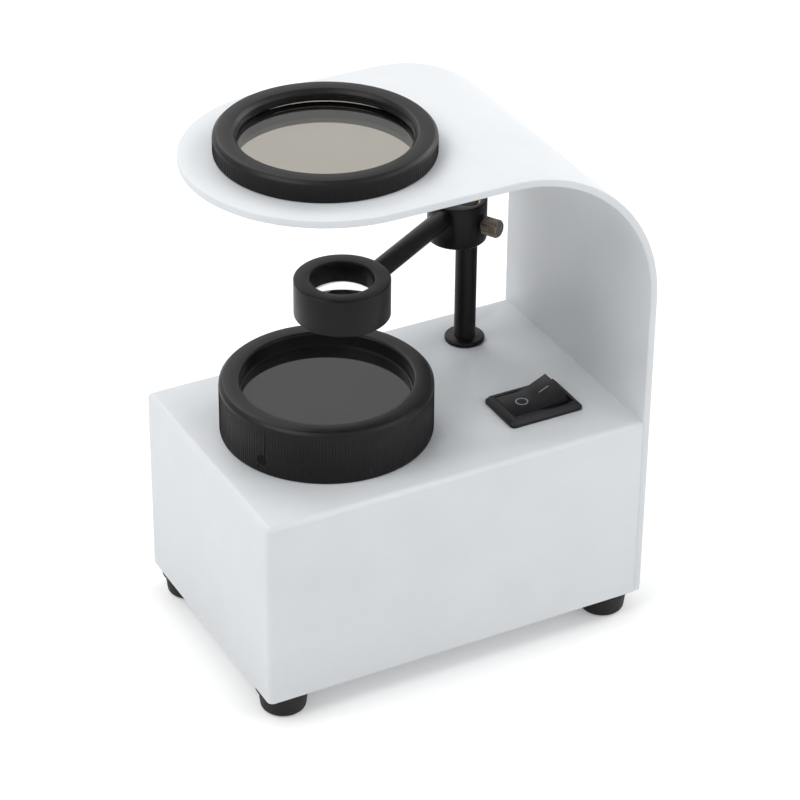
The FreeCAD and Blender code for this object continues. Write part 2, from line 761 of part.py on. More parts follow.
def make_lens_ring():
    ring = new_body("lens_ring")
    seat = "(lens_ring_radius - lens_ring_wall)"
    mouth = f"({seat} - lens_lip_width)"
    lip = "lens_ring_height - lens_lip_depth"
    chamfer = "lens_ring_chamfer"
    turned(ring, [
        (seat, "0"),
        (f"lens_ring_radius - {chamfer}", "0"),
        ("lens_ring_radius", chamfer),
        ("lens_ring_radius", f"lens_ring_height - {chamfer}"),
        (f"lens_ring_radius - {chamfer}", "lens_ring_height"),
        (f"{mouth} + {chamfer}", "lens_ring_height"),
        (mouth, f"lens_ring_height - {chamfer}"),
        (mouth, lip),
        (seat, lip),
    ])
    socket = new_sketch(ring, "YZ", "lens_ring_socket", "-lens_ring_radius - lens_ring_chamfer")
    circle(socket, "0", "lens_ring_height / 2 - lens_ring_rise", "arm_radius + running_clearance")
    pocket(ring, socket, "arm_in_ring + lens_ring_chamfer + running_clearance", backwards=True)

    # plano-convex lens, flat side down, its dome rising into the mouth
    lens = new_body("conoscope_lens")
    edge_low = f"{lip} - lens_edge_height"
    dome_foot = f"({mouth} - seat_clearance)"
    rise = "lens_dome_height"
    dome_radius = f"({dome_foot} * {dome_foot} + {rise} * {rise}) / (2 * {rise})"
    turned(lens, [
        ("0", edge_low),
        (f"{seat} - seat_clearance", edge_low),
        (f"{seat} - seat_clearance", lip),
        (dome_foot, lip, dome_radius, -1),
        ("0", f"{lip} + {rise}"),
    ])
    retainer = new_body("lens_retainer")
    turned(retainer, tube_corners(f"{seat} - lens_retainer_width", f"{seat} - running_clearance",
                                  f"{edge_low} - lens_retainer_height", edge_low))
    # the lens axis lies arm_reach from the collar's middle, at the far end of the arm
    reach_x = f"{post_x} + arm_reach * cos(arm_angle) + collar_offset * sin(arm_angle)"
    reach_y = f"{post_y} + arm_reach * sin(arm_angle) - collar_offset * cos(arm_angle)"
    for piece in (ring, lens, retainer):
        place(piece, reach_x, reach_y, f"{box_top} + {lens_low}", "arm_angle")


def make_thumbscrew():
    # the sketches face -Y, so a negative offset and a backward pad run along local +Y
    shank = new_body("thumbscrew_shank")
    start = "post_radius + running_clearance + bush_wall + shank_tip_gap"
    knob_start = f"{flank_y} + thumb_gap"
    section = new_sketch(shank, "XZ", "shank_section", f"-({start})")
    circle(section, "0", thumb_z, "shank_radius")
    pad(shank, section, f"{knob_start} + shank_in_knob - ({start})", backwards=True)
    place_on_post(shank)

    knob = new_body("thumbscrew_knob")
    head = new_sketch(knob, "XZ", "knob_section", f"-({knob_start})")
    circle(head, "0", thumb_z, "thumb_radius")
    pad(knob, head, "thumb_length", backwards=True)
    chamfer_edges(knob, "thumb_chamfer",
                  lambda edge: lies_on(edge, "y", f"{knob_start} + thumb_length"))
    socket = new_sketch(knob, "XZ", "knob_socket", f"-({knob_start})")
    circle(socket, "0", thumb_z, "shank_radius + running_clearance")
    pocket(knob, socket, "shank_in_knob + running_clearance", backwards=False)
    place_on_post(knob)


def make_switch():
    # heights are measured from the upper face of the box
    body = new_body("switch_body")
    bezel = new_sketch(body, "XY", "bezel_plan")
    rectangle(bezel, "-bezel_length / 2", "bezel_length / 2", "-bezel_width / 2", "bezel_width / 2")
    pad(body, bezel, "bezel_thickness")

    def is_rim(edge):
        on_end = lies_on(edge, "x", "bezel_length / 2") or lies_on(edge, "x", "-bezel_length / 2")
        on_side = lies_on(edge, "y", "bezel_width / 2") or lies_on(edge, "y", "-bezel_width / 2")
        return on_end and on_side
    round_edges(body, "bezel_corner", is_rim)
    chamfer_edges(body, "bezel_slope", lambda edge: lies_on(edge, "z", "bezel_thickness"))
    barrel = new_sketch(body, "XY", "barrel_plan")
    rectangle(barrel, f"-{body_length} / 2", f"{body_length} / 2",
              f"-{body_width} / 2", f"{body_width} / 2")
    pad(body, barrel, body_depth, backwards=True)
    # the rocker swings in a round-bottomed well about the pivot
    pivot_z = "-pivot_depth"
    well = new_sketch(body, "XZ", "rocker_well")
    outline(well, [
        (f"-{well_radius}", "bezel_thickness * 2"),
        (f"-{well_radius}", pivot_z, well_radius, -1),
        ("0", f"{pivot_z} - {well_radius}", well_radius, -1),
        (well_radius, pivot_z),
        (well_radius, "bezel_thickness * 2"),
    ])
    pocket(body, well, well_width, midplane=True)
    pin_hole = new_sketch(body, "XZ", "pivot_hole")
    circle(pin_hole, "0", pivot_z, "pivot_radius + running_clearance")
    pocket(body, pin_hole, f"{well_width} + pivot_length * 2", midplane=True)
    place(body, switch_x, switch_y, box_top)

    # the rocker's two faces slope up from its middle; at rest the left face lies level
    rocker = new_body("switch_rocker")
    face_z = "bezel_thickness + pivot_depth"
    end_x = f"sqrt({rocker_radius} * {rocker_radius} - ({face_z}) * ({face_z}))"
    shape = new_sketch(rocker, "XZ", "rocker_side")
    outline(shape, [
        ("0", face_z),
        (f"-({end_x})", f"{face_z} + ({end_x}) * tan(rocker_tilt)"),
        (f"-({end_x})", face_z, rocker_radius, -1),
        (f"-{rocker_radius}", "0", rocker_radius, -1),
        ("0", f"-{rocker_radius}", rocker_radius, -1),
        (rocker_radius, "0", rocker_radius, -1),
        (end_x, face_z),
        (end_x, f"{face_z} + ({end_x}) * tan(rocker_tilt)"),
    ])
    pad(rocker, shape, rocker_width, midplane=True)
    # the two faces meet in a rounded valley
    round_edges(rocker, "rocker_valley_radius",
                lambda edge: lies_on(edge, "x", "0") and lies_on(edge, "z", face_z))
    pivot = new_sketch(rocker, "XZ", "rocker_pivot")
    circle(pivot, "0", "0", "pivot_radius")
    pad(rocker, pivot, f"{rocker_width} + pivot_length * 2", midplane=True)
    place(rocker, switch_x, switch_y, f"{box_top} - pivot_depth")
    rocker.Placement.Rotation = FreeCAD.Rotation(vector(0, 1, 0), -sizes["rocker_tilt"])
    bind(rocker, "Placement.Rotation.Angle", "-rocker_tilt")

    blades = new_body("switch_terminals")
    plan = new_sketch(blades, "XY", "terminal_plan", f"-{body_depth}")
    for side in (-1, 1):
        middle = f"{side} * terminal_spacing / 2"
        rectangle(plan, f"{middle} - terminal_thickness / 2", f"{middle} + terminal_thickness / 2",
                  "-terminal_width / 2", "terminal_width / 2")
    pad(blades, plan, "terminal_length", backwards=True)
    place(blades, switch_x, switch_y, box_top)


def make_lamp():
    # cup hanging under the box top, closed from below by the lamp board; heights from the box top
    body = new_body("lamp_cup")
    lip_top = "-housing_wall"
    lip_low = "-housing_wall - cup_lip_thickness"
    rim = cup_rim
    turned(body, [
        (f"{spigot_radius} + seat_clearance", lip_low),
        (f"{cup_radius} - cup_wall", lip_low),
        (f"{cup_radius} - cup_wall", rim),
        (cup_radius, rim),
        (cup_radius, lip_top),
        (f"{spigot_radius} + seat_clearance", lip_top),
    ])
    screw_circle = f"({cup_radius} - cup_wall - board_boss_inset)"
    boss_places = []
    for angle in (90, 210, 330):
        boss_places.append((f"{screw_circle} * cos({angle})", f"{screw_circle} * sin({angle})"))
    bosses = new_sketch(body, "XY", "cup_bosses", rim)
    for x, y in boss_places:
        circle(bosses, x, y, "board_boss_radius")
    pad(body, bosses, "board_boss_height")
    threads = new_sketch(body, "XY", "cup_screw_holes", rim)
    for x, y in boss_places:
        circle(threads, x, y, "board_screw_radius + running_clearance")
    pocket(body, threads, "board_screw_length", backwards=True)

    board = new_body("lamp_board")
    disc = new_sketch(board, "XY", "board_plan", rim)
    circle(disc, "0", "0", cup_radius)
    for x, y in boss_places:
        circle(disc, x, y, "board_screw_radius + screw_clearance")
    pad(board, disc, "board_thickness", backwards=True)

    chips = new_body("lamp_leds")
    chip_plan = new_sketch(chips, "XY", "chip_plan", rim)
    spots = [("0", "0")]
    for angle in range(0, 360, 60):
        spots.append((f"chip_pitch * cos({angle})", f"chip_pitch * sin({angle})"))
    for x, y in spots:
        rectangle(chip_plan, f"{x} - chip_size / 2", f"{x} + chip_size / 2",
                  f"{y} - chip_size / 2", f"{y} + chip_size / 2")
    pad(chips, chip_plan, "chip_height")

    screws = new_body("lamp_screws")
    heads = new_sketch(screws, "XY", "board_screw_heads", f"{rim} - board_thickness")
    shanks = new_sketch(screws, "XY", "board_screw_shanks", f"{rim} - board_thickness")
    for x, y in boss_places:
        circle(heads, x, y, "board_head_radius")
        circle(shanks, x, y, "board_screw_radius")
    pad(screws, heads, "board_head_height", backwards=True)
    pad(screws, shanks, "board_screw_length")
    for piece in (body, board, chips, screws):
        place(piece, optic_x, "0", box_top)


half_cells = "(cell_length + cell_nub_length) / 2"
inner_end = f"{half_cells} + contact_thickness + cell_play"
cell_spacing = "(cell_radius * 2 + cell_gap)"
inner_side = f"{cell_spacing} + cell_radius + cell_play"
contact_top = f"{cells_top} + cell_play"
tray_x = f"({housing_left} + lug_size + tray_gap + tray_wall + {inner_end})"


def make_batteries():
    tray = new_body("battery_tray")
    block = new_sketch(tray, "XY", "tray_plan")
    rectangle(block, f"-({inner_end} + tray_wall)", f"{inner_end} + tray_wall",
              f"-({inner_side} + tray_wall)", f"{inner_side} + tray_wall")
    pad(tray, block, "tray_height")
    hollow = new_sketch(tray, "XY", "tray_hollow", "tray_floor")
    rectangle(hollow, f"-({inner_end})", inner_end, f"-({inner_side})", inner_side)
    pocket(tray, hollow, "tray_height", backwards=True)

    cells = new_body("battery_cells")
    centre_z = "tray_floor + cell_radius + cell_play / 2"
    # the middle cell points the other way, so the three stand in series
    for name, way, rows in (("outer_cells", 1, (f"-{cell_spacing}", cell_spacing)),
                            ("middle_cell", -1, ("0",))):
        start = f"-({half_cells})" if way == 1 else f"cell_nub_length - {half_cells}"
        can = new_sketch(cells, "YZ", name, start)
        for y in rows:
            circle(can, y, centre_z, "cell_radius")
        pad(cells, can, "cell_length")
        nub_start = f"cell_length - {half_cells}" if way == 1 else f"-({half_cells})"
        nub = new_sketch(cells, "YZ", name + "_nubs", nub_start)
        for y in rows:
            circle(nub, y, centre_z, "cell_nub_radius")
        pad(cells, nub, "cell_nub_length")

    contacts = new_body("battery_contacts")
    for name, start, pair, single in (
            ("left_contacts", f"-({inner_end})", (f"-{cell_spacing}", "0"), cell_spacing),
            ("right_contacts", f"{inner_end} - contact_thickness", ("0", cell_spacing),
             f"-{cell_spacing}")):
        plates = new_sketch(contacts, "YZ", name, start)
        rectangle(plates, f"{pair[0]} - contact_width / 2", f"{pair[1]} + contact_width / 2",
                  "tray_floor", contact_top)
        rectangle(plates, f"{single} - contact_width / 2", f"{single} + contact_width / 2",
                  "tray_floor", contact_top)
        pad(contacts, plates, "contact_thickness")
    for piece in (tray, cells, contacts):
        place(piece, tray_x, "0", tray_z)


def make_lead(label, start, finish, start_up, finish_up):
    # a round wire that leaves upwards or downwards, runs level, then rises or drops to its end
    body = new_body(label)
    run_x = f"({finish[0]}) - ({start[0]})"
    run_y = f"({finish[1]}) - ({start[1]})"
    run = f"sqrt(({run_x}) * ({run_x}) + ({run_y}) * ({run_y}))"
    # the level run lies half way between the contacts and the lamp board
    level = f"({tray_z} + {contact_top} + {board_low}) / 2 - ({start[2]})"
    end_z = f"({finish[2]}) - ({start[2]})"
    bend = "lead_bend"
    first = f"{level} - {bend}" if start_up else f"{level} + {bend}"
    last = f"{level} + {bend}" if finish_up else f"{level} - {bend}"
    path = new_sketch(body, "XZ", label + "_path")
    stations = [
        ("0", "0"),
        ("0", first, bend, 1 if start_up else -1),
        (bend, level),
        (f"{run} - {bend}", level, bend, -1 if finish_up else 1),
        (run, last),
        (run, end_z),
    ]
    outline(path, stations, closed=False)
    section = new_sketch(body, "XY", label + "_section")
    circle(section, "0", "0", "lead_radius")
    doc.recompute()
    wire = body.newObject("PartDesign::AdditivePipe", label + "_pipe")
    wire.Profile = section
    wire.Spine = (path, [f"Edge{index}" for index in range(1, len(stations))])
    place(body, start[0], start[1], start[2], f"atan2({run_y}; {run_x})")


def make_leads():
    end_x = f"{inner_end} - contact_thickness / 2"
    contact_z = f"{tray_z} + {contact_top}"
    blade_z = f"{box_top} - {body_depth} - terminal_length"
    blade_left = f"{switch_x} - terminal_spacing / 2"
    blade_right = f"{switch_x} + terminal_spacing / 2"
    # both leads to the lamp end at pads beside the middle chip
    make_lead("lead_battery_switch", (f"{tray_x} + {end_x}", f"-{cell_spacing}", contact_z),
              (blade_left, switch_y, blade_z), True, True)
    make_lead("lead_switch_lamp", (blade_right, switch_y, blade_z),
              (f"{optic_x} + joint_offset", "joint_offset", board_low), False, True)
    make_lead("lead_battery_lamp", (f"{tray_x} - ({end_x})", cell_spacing, contact_z),
              (f"{optic_x} - joint_offset", "joint_offset", board_low), True, True)


make_housing()
make_arch()
make_bottom_plate()
make_feet()
make_foot_screws()
make_stage_hub()
make_stage_ring()
make_analyser()
make_post()
make_bush()
make_collar()
make_arm()
make_lens_ring()
make_thumbscrew()
make_switch()
make_lamp()
make_batteries()
make_leads()
doc.recompute()
os.makedirs("parts", exist_ok=True)
for item in doc.Objects:
    if "Invalid" in item.State or "Error" in item.State:
        raise RuntimeError(item.Name + " did not build")
for part in subparts:
    if part.Shape.isNull() or not part.Shape.isValid() or part.Shape.Volume <= 0:
        raise RuntimeError(part.Label + " has no valid shape")
    part.Shape.exportStep(f"parts/{part.Label}.step")
    print(part.Label, len(part.Shape.Solids), round(part.Shape.Volume, 1))
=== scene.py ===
import math
import bmesh
import bpy
from mathutils import Matrix, Vector
from mathutils.bvhtree import BVHTree


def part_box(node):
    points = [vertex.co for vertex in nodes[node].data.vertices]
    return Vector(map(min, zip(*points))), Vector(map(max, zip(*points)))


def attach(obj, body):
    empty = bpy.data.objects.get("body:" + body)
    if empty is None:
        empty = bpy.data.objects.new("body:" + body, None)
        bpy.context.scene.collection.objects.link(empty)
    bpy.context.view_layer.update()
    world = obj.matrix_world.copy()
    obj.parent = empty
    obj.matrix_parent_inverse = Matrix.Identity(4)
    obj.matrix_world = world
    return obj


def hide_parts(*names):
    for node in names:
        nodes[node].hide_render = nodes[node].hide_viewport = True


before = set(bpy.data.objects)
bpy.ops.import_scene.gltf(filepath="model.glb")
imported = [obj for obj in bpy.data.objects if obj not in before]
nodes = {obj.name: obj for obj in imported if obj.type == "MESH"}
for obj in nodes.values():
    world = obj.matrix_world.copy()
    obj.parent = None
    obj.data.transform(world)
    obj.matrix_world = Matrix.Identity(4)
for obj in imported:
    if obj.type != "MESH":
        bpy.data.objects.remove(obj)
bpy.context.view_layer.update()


def hexColor(code):  # sRGB hex to the linear colour that the shaders expect
    linear = []
    for start in (1, 3, 5):
        channel = int(code[start:start + 2], 16) / 255
        linear.append(channel / 12.92 if channel <= 0.04045 else ((channel + 0.055) / 1.055) ** 2.4)
    return linear + [1.0]


def addNode(tree, kind, settings=None, links=None):
    # settings are socket names, socket numbers or node properties; links join sockets to outputs
    node = tree.nodes.new(kind)
    for name, value in (settings or {}).items():
        if isinstance(name, int) or name in node.inputs:
            node.inputs[name].default_value = value
        else:
            setattr(node, name, value)
    for name, source in (links or {}).items():
        tree.links.new(source, node.inputs[name])
    return node


def newMaterial(name, shaderSettings):
    material = bpy.data.materials.new(name)
    material.use_nodes = True
    tree = material.node_tree
    tree.nodes.clear()
    shader = addNode(tree, "ShaderNodeBsdfPrincipled", shaderSettings)
    addNode(tree, "ShaderNodeOutputMaterial", {}, {"Surface": shader.outputs["BSDF"]})
    place = addNode(tree, "ShaderNodeTexCoord").outputs["Object"]
    return material, tree, shader, place


cloudLook = {"detail": 3.0, "toneSpan": (0.32, 0.68), "glossSpan": (0.3, 0.7),
             "grainDetail": 2.0, "reliefStrength": 0.5}
perMetre = 1000  # millimetres


def cloudedFinish(name, look):
    # two tones in soft clouds, a fine grain in the relief and an uneven gloss; sizes in millimetres
    shaderSettings = {"Metallic": look.get("metallic", 0.0), "Roughness": look["gloss"][0]}
    shaderSettings.update(look.get("shader", {}))
    material, tree, shader, place = newMaterial(name, shaderSettings)
    drawn = addNode(tree, "ShaderNodeMapping", {"Scale": look.get("drawn", (1, 1, 1))},
                    {"Vector": place})
    cloud = addNode(tree, "ShaderNodeTexNoise",
                    {"Scale": perMetre / look["cloud"], "Detail": cloudLook["detail"]},
                    {"Vector": drawn.outputs["Vector"]})
    low, high = cloudLook["toneSpan"]
    spread = addNode(tree, "ShaderNodeMapRange", {"From Min": low, "From Max": high},
                     {"Value": cloud.outputs["Fac"]})
    tones = addNode(tree, "ShaderNodeMix",
                    {"data_type": "RGBA", 6: hexColor(look["tones"][0]), 7: hexColor(look["tones"][1])},
                    {0: spread.outputs["Result"]})
    tree.links.new(tones.outputs[2], shader.inputs["Base Color"])
    if "grain" in look:
        grain = addNode(tree, "ShaderNodeTexNoise",
                        {"Scale": perMetre / look["grain"], "Detail": cloudLook["grainDetail"]},
                        {"Vector": drawn.outputs["Vector"]})
        bump = addNode(tree, "ShaderNodeBump",
                       {"Distance": look["relief"] / perMetre, "Strength": cloudLook["reliefStrength"]},
                       {"Height": grain.outputs["Fac"]})
        tree.links.new(bump.outputs["Normal"], shader.inputs["Normal"])
    low, high = cloudLook["glossSpan"]
    uneven = addNode(tree, "ShaderNodeMapRange",
                     {"From Min": low, "From Max": high,
                      "To Min": look["gloss"][0], "To Max": look["gloss"][1]},
                     {"Value": cloud.outputs["Fac"]})
    tree.links.new(uneven.outputs["Result"], shader.inputs["Roughness"])
    return material


# polyester powder coat baked on folded steel: satin white, a faint orange peel of about 0.9 mm
whiteCoat = cloudedFinish("powderCoatWhite", {
    "tones": ("#E1E5E8", "#E6E9EC"), "cloud": 16.0, "grain": 0.9, "relief": 0.04, "gloss": (0.40, 0.48),
    "shader": {"IOR": 1.5}})
# turned aluminium under black anodising: a dyed skin that swallows most light, with a satin sheen
blackAnodised = cloudedFinish("anodisedBlack", {
    "tones": ("#100E10", "#151315"), "cloud": 4.0, "grain": 1.2, "relief": 0.01, "gloss": (0.32, 0.42),
    "drawn": (1, 1, 6), "shader": {"IOR": 1.5, "Specular IOR Level": 0.2}})
# moulded nitrile rubber: dull and very dark, a little dust held in its skin
blackRubber = cloudedFinish("mouldedRubber", {
    "tones": ("#111113", "#1A1A1C"), "cloud": 1.5, "grain": 0.6, "relief": 0.03, "gloss": (0.55, 0.7),
    "shader": {"IOR": 1.5, "Specular IOR Level": 0.3}})
# rolled steel sheet, zinc plated: cool grey with stretched spangle along the rolling direction
zincSheet = cloudedFinish("zincPlatedSheet", {
    "tones": ("#A7ABB0", "#BEC1C4"), "metallic": 1.0, "cloud": 4.0, "drawn": (1, 8, 1),
    "gloss": (0.32, 0.44)})
# cold formed steel screws, bright zinc: small, even and clean
zincSteel = cloudedFinish("zincPlatedSteel", {
    "tones": ("#A9ACAF", "#C0C2C3"), "metallic": 1.0, "cloud": 1.5, "gloss": (0.26, 0.34)})
# free cutting steel, knurled and browned by handling: warm grey, brighter where the crests are rubbed
knobSteel = cloudedFinish("knurledSteel", {
    "tones": ("#6B635A", "#8F867B"), "metallic": 1.0, "cloud": 0.8, "grain": 0.5, "relief": 0.01,
    "gloss": (0.34, 0.46)})
# drawn brass: yellow, a little dulled
brass = cloudedFinish("drawnBrass", {
    "tones": ("#B08D4C", "#C9A661"), "metallic": 1.0, "cloud": 1.5, "gloss": (0.26, 0.34)})
# nickel plated spring steel: warm white metal
nickel = cloudedFinish("nickelPlatedSpring", {
    "tones": ("#B3AEA3", "#C9C4B8"), "metallic": 1.0, "cloud": 1.5, "gloss": (0.24, 0.32)})
# glass filled nylon from a spark eroded mould: black, matt on the bezel and smoother on the rocker
bezelPlastic = cloudedFinish("nylonBezelBlack", {
    "tones": ("#141216", "#1A181C"), "cloud": 2.4, "grain": 0.5, "relief": 0.02, "gloss": (0.42, 0.5),
    "shader": {"IOR": 1.5, "Specular IOR Level": 0.3}})
rockerPlastic = cloudedFinish("nylonRockerBlack", {
    "tones": ("#0F0E12", "#141317"), "cloud": 2.4, "grain": 0.5, "relief": 0.01, "gloss": (0.34, 0.4),
    "shader": {"IOR": 1.5, "Specular IOR Level": 0.18}})
# pad printed ink: thin grey, slightly broken at its edges
markInk = cloudedFinish("padPrintInk", {
    "tones": ("#817F86", "#9B99A0"), "cloud": 0.4, "gloss": (0.45, 0.55), "shader": {"IOR": 1.5}})
# polypropylene tray: grey black, waxy
trayPlastic = cloudedFinish("polypropyleneBlack", {
    "tones": ("#1A1A1B", "#242425"), "cloud": 3.0, "grain": 0.8, "relief": 0.02, "gloss": (0.46, 0.54),
    "shader": {"IOR": 1.5}})
# moulded styrene cup: white inside so that it throws the light up
cupPlastic = cloudedFinish("styreneWhite", {
    "tones": ("#DADAD8", "#E4E4E2"), "cloud": 5.0, "grain": 0.8, "relief": 0.02, "gloss": (0.45, 0.55),
    "shader": {"IOR": 1.55}})
# opal acrylic diffuser: milky all through, a clean gloss on top
opalPlastic = cloudedFinish("opalAcrylic", {
    "tones": ("#DCDCD8", "#E6E6E3"), "cloud": 8.0, "gloss": (0.3, 0.38), "shader": {"IOR": 1.49}})
# solder mask on glass fibre board: white lacquer with a faint weave under it
boardLacquer = cloudedFinish("solderMaskWhite", {
    "tones": ("#C9CDC9", "#D8DBD7"), "cloud": 6.0, "grain": 0.7, "relief": 0.02, "gloss": (0.28, 0.34),
    "shader": {"IOR": 1.5}})
# phosphor in clear silicone on each chip: yellow while the lamp is off
chipPhosphor = cloudedFinish("phosphorSilicone", {
    "tones": ("#D8C24A", "#E6D464"), "cloud": 0.8, "gloss": (0.36, 0.44), "shader": {"IOR": 1.41}})
# shrink sleeve on the cells: plain blue, glossy
cellSleeve = cloudedFinish("cellSleeveBlue", {
    "tones": ("#2A4566", "#33507A"), "cloud": 9.0, "gloss": (0.22, 0.28), "shader": {"IOR": 1.52}})
# soft vinyl insulation on the leads
redSleeve = cloudedFinish("softVinylRed", {
    "tones": ("#8E1B16", "#A5241D"), "cloud": 1.2, "gloss": (0.36, 0.44), "shader": {"IOR": 1.53}})
blackSleeve = cloudedFinish("softVinylBlack", {
    "tones": ("#181818", "#222222"), "cloud": 1.2, "gloss": (0.36, 0.44), "shader": {"IOR": 1.53}})
# dyed polarising film on plastic under the stage glass: brown black, its own shine lost in the joint
polariserDark = cloudedFinish("polariserFilmDark", {
    "tones": ("#0F0D0C", "#13110F"), "cloud": 9.0, "gloss": (0.3, 0.36),
    "shader": {"IOR": 1.5, "Specular IOR Level": 0.05}})
# the stage's glass with the dark film close under it: the eye gets a near black sheet with clean
# reflections on it
stageGlass = cloudedFinish("stageGlassOverFilm", {
    "tones": ("#1B1918", "#211F1E"), "cloud": 10.0, "gloss": (0.05, 0.08),
    "shader": {"IOR": 1.52}})
# the conoscope lens, bloomed against reflections: its index is set low, so that the backdrop shows
# through it, as it does in the photograph
lensGlass = cloudedFinish("bloomedLensGlass", {
    "tones": ("#FAFAFC", "#F4F4F8"), "cloud": 6.0, "gloss": (0.0, 0.01),
    "shader": {"IOR": 1.3, "Transmission Weight": 1.0}})
# iodine dyed film between glass plates: a warm neutral grey that lets just under a third of the
# light through
analyserGlass = cloudedFinish("polarisingLaminate", {
    "tones": ("#99958B", "#969288"), "cloud": 20.0, "gloss": (0.0, 0.01),
    "shader": {"IOR": 1.5, "Transmission Weight": 1.0}})
print("finishes made")

nodeFinishes = {
    "base_housing": whiteCoat, "arch_bracket": whiteCoat,
    "bottom_plate": zincSheet, "rubber_feet": blackRubber, "foot_screws": zincSteel,
    "stage_hub": blackAnodised, "stage_lock_ring": blackAnodised, "stage_ring": blackAnodised,
    "stage_grub_screw": zincSteel, "stage_glass": stageGlass,
    "polariser_disc": polariserDark, "diffuser_disc": opalPlastic,
    "analyser_ring": blackAnodised, "analyser_lock_ring": blackAnodised,
    "analyser_retainer": blackAnodised, "analyser_disc": analyserGlass,
    "conoscope_post": blackAnodised, "post_washer": zincSteel, "post_nut": zincSteel,
    "arm_collar": blackAnodised, "collar_bush": brass, "arm_rod": blackAnodised,
    "lens_ring": blackAnodised, "lens_retainer": blackAnodised, "conoscope_lens": lensGlass,
    "thumbscrew_shank": knobSteel, "thumbscrew_knob": knobSteel,
    "switch_body": bezelPlastic, "switch_rocker": rockerPlastic, "switch_terminals": brass,
    "lamp_cup": cupPlastic, "lamp_board": boardLacquer, "lamp_leds": chipPhosphor,
    "lamp_screws": zincSteel,
    "battery_tray": trayPlastic, "battery_cells": cellSleeve, "battery_contacts": nickel,
    "lead_battery_switch": redSleeve, "lead_switch_lamp": redSleeve, "lead_battery_lamp": blackSleeve,
}
for node, material in nodeFinishes.items():
    nodes[node].data.materials.clear()
    nodes[node].data.materials.append(material)
print("nodes dressed:", len(nodeFinishes), "of", len(nodes))


def addObject(name, mesh):
    piece = bpy.data.objects.new(name, mesh)
    bpy.context.scene.collection.objects.link(piece)
    return piece


edgeLook = {"sharpFrom": 35, "easedFrom": 40, "weld": 1e-6}  # degrees, degrees, metres


def finishPiece(piece, body, material, replaced=()):
    # live modifiers are baked in, then the piece gets its finish and its place in the model
    depsgraph = bpy.context.evaluated_depsgraph_get()
    mesh = bpy.data.meshes.new_from_object(piece.evaluated_get(depsgraph))
    piece.modifiers.clear()
    piece.data = mesh
    mesh.materials.clear()
    mesh.materials.append(material)
    mesh.shade_smooth()
    mesh.set_sharp_from_angle(angle=math.radians(edgeLook["sharpFrom"]))
    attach(piece, body)
    if replaced:
        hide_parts(*replaced)
    return piece


def easedCopy(node, name, body, material, width, segments=2):
    # a CAD node's own shape with its sharp edges eased, as paint, anodising and moulding leave them
    work = bmesh.new()
    work.from_mesh(nodes[node].data)
    bmesh.ops.remove_doubles(work, verts=work.verts, dist=edgeLook["weld"])
    mesh = bpy.data.meshes.new(name)
    work.to_mesh(mesh)
    work.free()
    piece = addObject(name, mesh)
    ease = piece.modifiers.new("ease", "BEVEL")
    ease.width = width
    ease.segments = segments
    ease.limit_method = "ANGLE"
    ease.angle_limit = math.radians(edgeLook["easedFrom"])
    return finishPiece(piece, body, material, [node])


def turnedMesh(name, outline, segments, ring=False):
    # lathe work: outline is (radius, height) pairs; a ring's outline closes on itself
    work = bmesh.new()
    rows = []
    for radius, height in outline:
        if radius == 0:
            rows.append([work.verts.new((0, 0, height))] * segments)
            continue
        rows.append([work.verts.new((radius * math.cos(step * math.tau / segments),
                                     radius * math.sin(step * math.tau / segments), height))
                     for step in range(segments)])
    pairs = list(zip(rows, rows[1:])) + ([(rows[-1], rows[0])] if ring else [])
    for lower, upper in pairs:
        for step in range(segments):
            following = (step + 1) % segments
            corners = [lower[step], lower[following], upper[following], upper[step]]
            # on the axis two corners are one, and the face is a triangle
            corners = [corner for place, corner in enumerate(corners) if corner not in corners[:place]]
            work.faces.new(corners)
    bmesh.ops.recalc_face_normals(work, faces=work.faces)
    mesh = bpy.data.meshes.new(name)
    work.to_mesh(mesh)
    work.free()
    return mesh


def newTree(name, inputs):
    # a Geometry Nodes tree with one named input for each size
    tree = bpy.data.node_groups.new(name, "GeometryNodeTree")
    identifiers = {}
    for label, kind in inputs.items():
        socket = tree.interface.new_socket(label, in_out="INPUT", socket_type=kind)
        identifiers[label] = socket.identifier
    tree.interface.new_socket("Geometry", in_out="OUTPUT", socket_type="NodeSocketGeometry")
    return tree, tree.nodes.new("NodeGroupInput").outputs, identifiers


def endTree(tree, instances):
    # the instances made real, with a material slot for finishPiece to fill
    realised = addNode(tree, "GeometryNodeRealizeInstances", {}, {"Geometry": instances})
    painted = addNode(tree, "GeometryNodeSetMaterial", {}, {"Geometry": realised.outputs["Geometry"]})
    addNode(tree, "NodeGroupOutput", {}, {"Geometry": painted.outputs["Geometry"]})


def growPiece(name, tree, identifiers, values):
    # an empty mesh with the tree on it, its inputs set by identifier before it is first evaluated
    piece = addObject(name, bpy.data.meshes.new(name + "Seed"))
    grow = piece.modifiers.new("grow", "NODES")
    grow.node_group = tree
    for label, value in values.items():
        grow[identifiers[label]] = value
    return piece


# painted sheet: folded edges and sheared edges, both softened by the coat
sheetEdges = {"housing": 0.0003, "arch": 0.00035, "archSegments": 3}
easedCopy("base_housing", "housingPainted", "base", whiteCoat,
          sheetEdges["housing"])
easedCopy("arch_bracket", "archPainted", "base", whiteCoat,
          sheetEdges["arch"], sheetEdges["archSegments"])
print("painted sheet made")

